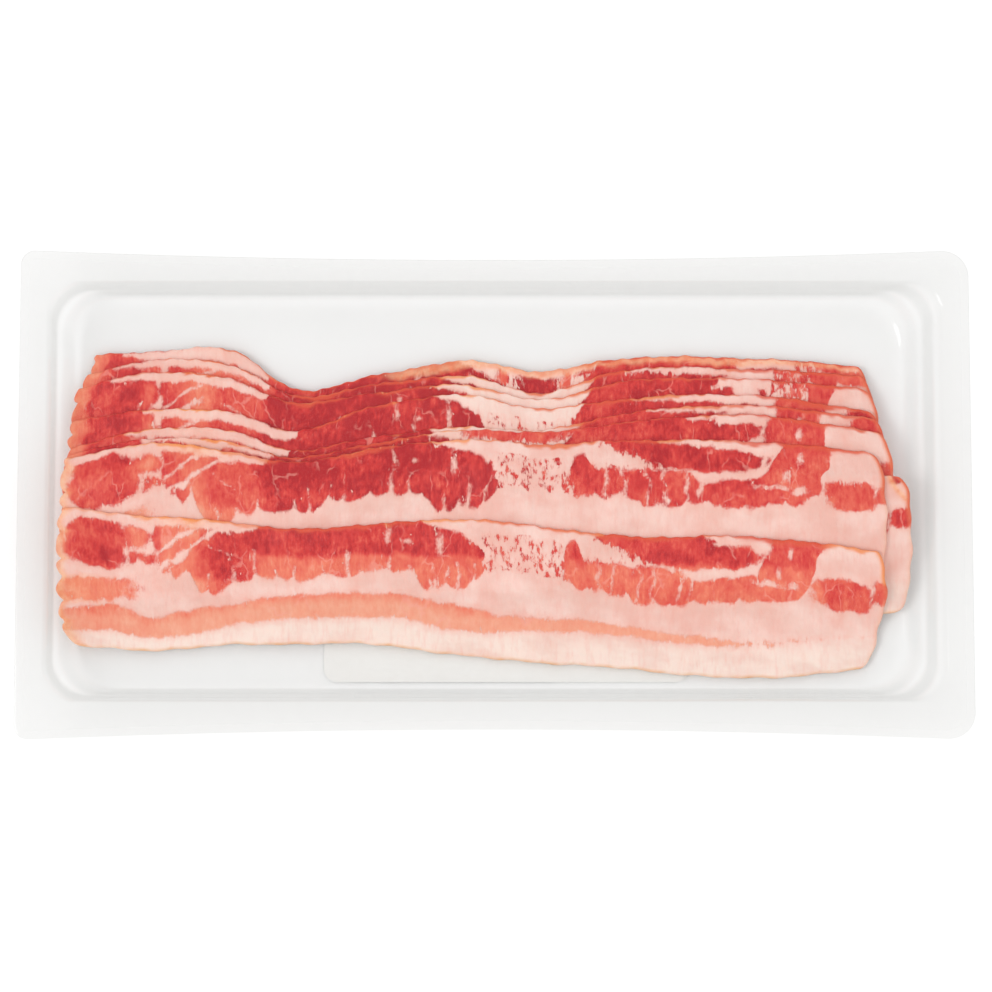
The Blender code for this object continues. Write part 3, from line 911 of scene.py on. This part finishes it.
def pattern(form, u, a, b, toLeft, toRight):
    seed, rank = form["seed"], rankOf(form)
    plainU, plainA = u, a
    loose = 0.45 if rank == 1 else 1.0
    u = u + form.get("shift", 0.0) + swirl(u, a, seed + 200, 40, 1.3 * loose)
    u = u + swirl(u, a, seed + 201, 9, 0.55)
    a = a + swirl(u, a, seed + 210, 26, 0.45 * loose) + swirl(u, a, seed + 211, 7, 0.25)

    lean = leanShapes(u, a, seed, rank)
    own = np.zeros(u.shape)
    for *place, red in form.get("extras", ()):
        spot = blob(u, a, *place, 2.4)
        if red < 0:
            lean = np.minimum(lean, -spot)
            continue
        own = np.where((spot > 0) & (spot > lean), red, own)
        lean = np.maximum(lean, spot)
    lean = seamsCut(lean, u, a, rank)
    start, end, wide = form["strip"]
    strips = paleStrip(plainU, plainA, start, end, wide * 0.8, wide)
    strips = np.maximum(strips, paleStrip(plainU, plainA, *form["late"]))
    lean = np.minimum(lean, -strips - 0.2)

    marble = mingledShare(u, a, rank)
    if rank > 6:
        mingled = plateau(u, 203, 206, 214, 217) * fall(a, 8, 10)
        lean = np.where(mingled > 0.5, np.minimum(lean, 0.3), lean)
        marble = np.maximum(marble, 0.9 * mingled)
    lean = np.maximum(lean, -0.45 - (1 - marble) * 30)
    if rank > 3:  # round orange lumps at the left ends
        lump = fall(toLeft, 3.4, 6.2 + swirl(plainA, plainA * 0, seed + 8, 9, 1.4))
        lean = np.maximum(lean, 5 * (lump - 0.55))
    stripeLow = easedLine(u, stripe["bottom"])
    folded = foldedStripe(u, b, stripeLow, seed)
    stripeOn = folded > lean
    fray = smooth(u, 190, 204) * (np.abs(folded + 0.5) < 1.3)
    marble = np.maximum(marble, fray * 0.7)
    lean = np.maximum(lean, folded)

    redness = leanRedness(form, u, a, own)
    stripeRed = 0.15 + 0.13 * smooth(b - stripeLow, 3.5, 7) + 0.05 * np.exp(-((u - 14) / 12) ** 2)
    redness = np.where(stripeOn, stripeRed, redness)
    tongueArea = tongueShape(u, a, tongue["colourHalf"]) > 0
    redness = np.where(tongueArea, 0.34, redness)
    # Painted sheen: the second slice's left muscle is made paler, standing in for a soft reflection on it
    if rank == 2:
        redness -= 0.15 * fall(u, 24, 30)
    if rank > 3:
        redness -= 0.07 * smooth(u, 158, 164)
        redness += (0.38 - redness) * lump

    orange = orangeShare(form, u, a, plainA, toLeft, toRight, tongueArea)
    rear, red = rearRimShare(form, u, a, toRight)
    front = fall(b, 0.2, 1.0) * (0.5 + ripple(u, seed + 7, 0.45, (35, 15, 8, 4)))
    cream = fall(b, 4, 14)
    if rank > 3:
        cream = np.maximum(cream, 0.6 * plateau(u, 98, 112, 158, 170))
    return {
        "lean": lean, "redness": redness, "orange": np.clip(orange, 0, 1),
        "rearRim": np.clip(rear, 0, 1), "frontRim": np.clip(front, 0, 1), "cream": cream,
        "marble": marble, "redRim": np.clip(red, 0, 1),
    }


flesh = {
    # share of redness and its colour, from pale salmon to deep red
    "lean": ((0.0, (240, 182, 158)), (0.15, (236, 158, 130)), (0.35, (231, 120, 93)),
             (0.55, (221, 86, 70)), (0.75, (208, 50, 47)), (1.0, (175, 18, 28))),
    "vein": (238, 160, 145),
    "fat": (240, 203, 192),
    # pinker patches of fat, partly painted soft shading
    "blushAndShade": (233, 182, 169),
    "cream": (242, 221, 209),
    # painted crease shade: the colour of the darker soft bands that stand in for shade in the fat's
    # creases
    "creaseShade": (222, 168, 153),
    "streak": (230, 156, 140),
    "nearLean": (238, 168, 152),
    "rind": (238, 150, 104),
    "paleRind": (244, 184, 142),
    "rim": (238, 150, 88),
    "redRim": (214, 80, 54),
    "frontRim": (226, 168, 116),
    "edgeWander": 2.4,
    "edgeFine": 1.3,
    "specks": 7.0,
    "subsurface": 0.12,
}


def paint(name):
    return tone(*flesh[name])


def leanEdge(tree, place):
    # Uneven edge between lean and fat, and specks where the two are mingled
    wander = tree.centred(tree.noise(place, 0.30, 4.0, 0.6))
    fine = tree.centred(tree.noise(place, 1.3, 3.0, 0.65, (1.4, 0.7, 1.0)))
    specks = tree.centred(tree.noise(place, 0.9, 3.0, 0.6, (1.0, 0.42, 1.0)))
    specks = tree.times(specks, tree.named("marble"))
    edge = tree.added(wander, flesh["edgeWander"], tree.named("lean"))
    edge = tree.added(fine, flesh["edgeFine"], edge)
    edge = tree.added(specks, flesh["specks"], edge)
    notches = tree.spread(tree.noise(place, 0.62, 2.0, 0.5, (1.0, 0.24, 1.0)), 0.60, 0.75)
    edge = tree.maths("SUBTRACT", edge, tree.times(notches, 0.9))
    fleck = tree.spread(tree.noise(place, 0.55, 4.0, 0.65, (1.2, 0.55, 1.0)), 0.63, 0.74)
    return tree.maths("SUBTRACT", edge, tree.times(fleck, 2.4))


def leanPaint(tree, place, fibres):
    # Pale to deep red, with drawn-out fibres and thin pale veins
    redness = tree.named("redness")
    mottle = tree.noise(place, 0.55, 4.0, 0.65, (1.0, 0.7, 1.0))
    patches = tree.noise(place, 0.13, 2.0, 0.5)
    strength = redness
    for grain, share in ((patches, 0.8), (fibres, 0.75), (mottle, 1.0)):
        strength = tree.added(tree.centred(grain), share, strength)
    calm = tree.added(redness, 1.1, 0.05, True)
    strength = tree.maths("SUBTRACT", strength, redness)
    strength = tree.added(strength, calm, redness)
    ramp = tree.put("ValToRGB", i0=strength)
    while len(ramp.color_ramp.elements) < len(flesh["lean"]):
        ramp.color_ramp.elements.new(0.5)
    for element, (at, colour) in zip(ramp.color_ramp.elements, flesh["lean"]):
        element.position = at
        element.color = tone(*colour)
    swirled = tree.put("TexNoise", Vector=place, Scale=0.35).outputs[1]
    warped = tree.vector("MULTIPLY_ADD", swirled, (3.0, 5.0, 0.0), place)
    drawn = tree.vector("MULTIPLY", warped, (0.16, 0.085, 1.0))
    cells = tree.put("TexVoronoi", {"feature": "DISTANCE_TO_EDGE"}, Vector=drawn, Scale=1.0)
    veins = tree.spread(cells.outputs[0], 0.012, 0.035, 1.0, 0.0)
    veins = tree.times(veins, tree.spread(tree.noise(place, 0.12, 2.0), 0.5, 0.62))
    return tree.blend(tree.times(veins, 0.4), ramp.outputs[0], paint("vein"))


def fatPaint(tree, place, edge):
    # Pinkish white, creamier towards the rind and pinker next to the lean, with pinker patches that are
    # partly painted soft shading, and long darker bands of painted crease shade
    # Pinker patches of fat that are also painted soft shading
    blushAndShade = tree.spread(tree.noise(place, 0.10, 4.0, 0.55), 0.35, 0.7)
    # Painted crease shade: long soft darker bands that stand in for shade where the fat creases
    creaseShadeMask = tree.spread(tree.noise(place, 0.055, 3.0, 0.5, (1.0, 2.4, 1.0)), 0.42, 0.66)
    streaks = tree.spread(tree.noise(place, 0.8, 4.0, 0.6, (1.0, 0.22, 1.0)), 0.42, 0.8)
    nearLean = tree.spread(edge, -2.0, -0.1)
    fat = tree.blend(blushAndShade, paint("fat"), paint("blushAndShade"))
    for where, most, colour in ((tree.named("cream"), 0.9, "cream"), (creaseShadeMask, 0.34, "creaseShade"),
                                (streaks, 0.30, "streak"), (nearLean, 0.3, "nearLean")):
        fat = tree.blend(tree.times(where, most), fat, paint(colour))
    return fat


def rindPaint(tree, place, edge, colour):
    # Orange rind and the thin rims, laid over the lean and fat
    grain = tree.spread(tree.noise(place, 0.45, 3.0, 0.6), 0.35, 0.65)
    rind = tree.blend(grain, paint("rind"), paint("paleRind"))
    colour = tree.blend(tree.times(tree.named("orange"), 0.85), colour, rind)
    redRim = tree.maths("MAXIMUM", tree.spread(edge, -0.5, 1.2), tree.named("redRim"))
    rim = tree.blend(redRim, paint("rim"), paint("redRim"))
    colour = tree.blend(tree.named("rearRim"), colour, rim)
    return tree.blend(tree.named("frontRim"), colour, paint("frontRim"))


def baconMaterial():
    material = bpy.data.materials.new("baconFlesh")
    tree = Tree(material)
    place = tree.named("flat", "Vector")
    edge = leanEdge(tree, place)
    isLean = tree.spread(edge, -0.5, 0.6)
    fibres = tree.noise(place, 1.5, 4.0, 0.7, (1.0, 0.20, 1.0))
    colour = tree.blend(isLean, fatPaint(tree, place, edge), leanPaint(tree, place, fibres))
    colour = rindPaint(tree, place, edge, colour)

    # Moist surface: the lean dips a little, the fat is smoother
    relief = tree.added(isLean, -0.5, tree.times(fibres, 0.5))
    relief = tree.added(tree.noise(place, 0.3, 2.0), 1.0, relief)
    bump = tree.put("Bump", Strength=0.6, Distance=0.0005, Height=relief)
    rough = tree.added(tree.noise(place, 0.5, 2.0), 0.2, 0.34)
    shader = tree.put("BsdfPrincipled", Base_Color=colour, Roughness=rough,
                      Normal=bump.outputs[0])
    shader.inputs["Subsurface Weight"].default_value = flesh["subsurface"]
    shader.inputs["Subsurface Radius"].default_value = (1.0, 0.4, 0.3)
    shader.inputs["Subsurface Scale"].default_value = 0.0015
    shader.inputs["Specular IOR Level"].default_value = 0.4
    tree.finish(shader)
    return material


def addAttribute(mesh, name, values, kind="FLOAT"):
    attribute = mesh.attributes.new(name, kind, "POINT")
    key = "vector" if kind == "FLOAT_VECTOR" else "value"
    attribute.data.foreach_set(key, np.asarray(values, np.float32).ravel())


def layOn(form, heights, along, across, top):
    # The slice's top joins what the next one lies on
    lowEdge, highEdge = frontEdge(form, gridX), rearEdge(form, gridX)
    gridT = (gridY - lowEdge) / (highEdge - lowEdge)
    safeT = np.clip(gridT, 0, 1)
    left, right = startX(form, safeT), endX(form, safeT)
    gridS = (gridX - left) / (right - left)
    covered = (gridT >= 0) & (gridT <= 1) & (gridS >= 0) & (gridS <= 1)
    fs = np.interp(gridS[covered], along, np.arange(len(along)))
    ft = np.interp(gridT[covered], across, np.arange(len(across)))
    i = np.minimum(fs.astype(int), len(along) - 2)
    j = np.minimum(ft.astype(int), len(across) - 2)
    heights[covered] = np.maximum(heights[covered], bilinear(top, i, j, fs - i, ft - j))


def sliceSkin(x, y, top, bottom):
    # One closed skin: the upper and lower sheets share the points of their rim
    count = x.size
    index = np.arange(count).reshape(x.shape)
    inner = np.zeros(x.shape, bool)
    inner[1:-1, 1:-1] = True
    lower = index.copy()
    lower[inner] = count + np.arange(inner.sum())
    upperFaces = np.stack([index[:-1, :-1], index[1:, :-1], index[1:, 1:], index[:-1, 1:]], -1)
    lowerFaces = np.stack([lower[:-1, :-1], lower[:-1, 1:], lower[1:, 1:], lower[1:, :-1]], -1)
    faces = np.vstack([upperFaces.reshape(-1, 4), lowerFaces.reshape(-1, 4)])
    points = np.vstack([
        np.stack([x, y, top], -1).reshape(-1, 3),
        np.stack([x[inner], y[inner], bottom[inner]], -1),
    ])
    return points, faces, inner


def buildSlice(form, heights, material):
    seed = form["seed"]
    along = edgeSpaced(bacon["along"], bacon["length"])
    across = edgeSpaced(bacon["across"], bacon["rimWidth"])
    x, y, high, low = planPoints(form, along, across)
    under = drape(form, heights, along, across)
    s, t = np.meshgrid(along, across, indexing="ij")
    u = x - form["ends"][0]
    a, b = high - y, y - low
    nearest = np.minimum(np.minimum(s, 1 - s) * bacon["length"], np.minimum(t, 1 - t) * bacon["rimWidth"])
    rounding = np.sqrt(1 - (1 - np.clip(nearest / bacon["round"], 0, 1)) ** 2)
    fields = pattern(form, u, a, b, x - startX(form, t), endX(form, t) - x)
    relief = 0.10 * smooth(-fields["lean"], 0.0, 1.2) - 0.05
    relief = relief + swirl(u, a, seed + 30, 30, 0.16) + swirl(u, a, seed + 31, 8, 0.05)
    thick = bacon["thick"] * rounding
    middle = under + bacon["thick"] / 2
    top = middle + thick / 2 + relief * rounding
    points, faces, inner = sliceSkin(x, y, top, middle - thick / 2)
    made = meshObject(form["name"], points, faces, material)
    for name, values in fields.items():
        addAttribute(made.data, name, np.concatenate([values.ravel(), values[inner]]))
    flat = np.stack([u, a, np.full(u.shape, seed * 7.0)], -1)
    addAttribute(made.data, "flat", np.vstack([flat.reshape(-1, 3), flat[inner]]), "FLOAT_VECTOR")
    layOn(form, heights, along, across, top)
    settlePiece(made, form["node"])
    print(form["name"], "laid, top", round(float(top.max()), 2), "mm")


baconFlesh = baconMaterial()
laidHeights = trayHeights()
for sliceForm in slices:
    buildSlice(sliceForm, laidHeights, baconFlesh)

studio = {
    "floorHalf": 3.0,
    "floorDrop": 0.3,
    "worldStrength": 0.98,
    "keyFrom": (-0.62, -0.12, 0.74),
    "keyPower": 0.72,
    "keySpread": 22.0,
    "cameraTarget": (0.0004, -0.0009, 0.017),
    "cameraDistance": 0.85,
    "cameraTilt": 5.8,
    "lens": 106.7,
}


def buildStage():
    floorMaterial = bpy.data.materials.new("paleFloor")
    tree = Tree(floorMaterial)
    tree.finish(tree.put("BsdfPrincipled", Base_Color=(0.95, 0.95, 0.95, 1), Roughness=0.9))
    half, level = studio["floorHalf"] / mm, -studio["floorDrop"]
    corners = [(-half, -half, level), (half, -half, level), (half, half, level), (-half, half, level)]
    floor = meshObject("floor", corners, [(0, 1, 2, 3)], floorMaterial)


def buildLight():
    world = bpy.data.worlds.new("studio")
    bpy.context.scene.world = world
    world.use_nodes = True
    backdrop = world.node_tree.nodes["Background"]
    backdrop.inputs[0].default_value = (1, 1, 1, 1)
    backdrop.inputs[1].default_value = studio["worldStrength"]
    lamp = bpy.data.lights.new("key", "SUN")
    lamp.angle = math.radians(studio["keySpread"])
    lamp.energy = studio["keyPower"]
    key = bpy.data.objects.new("key", lamp)
    key.location = studio["keyFrom"]
    aim = -np.array(key.location)
    key.rotation_euler = (math.atan2(math.hypot(aim[0], aim[1]), -aim[2]), 0,
                          math.atan2(aim[0], -aim[1]) + math.pi)
    bpy.context.scene.collection.objects.link(key)


def buildCamera():
    lens = bpy.data.cameras.new("camera")
    lens.sensor_width = 36.0
    lens.lens = studio["lens"]
    lens.clip_start = 0.05
    lens.clip_end = 20.0
    camera = bpy.data.objects.new("camera", lens)
    tilt = math.radians(studio["cameraTilt"])
    x, y, z = studio["cameraTarget"]
    camera.location = (x, y - math.sin(tilt) * studio["cameraDistance"],
                       z + math.cos(tilt) * studio["cameraDistance"])
    camera.rotation_euler = (tilt, 0, 0)
    bpy.context.scene.collection.objects.link(camera)
    bpy.context.scene.camera = camera


buildStage()
buildLight()
buildCamera()
bpy.context.scene.view_settings.view_transform = "Standard"
print("stage, light and camera set")
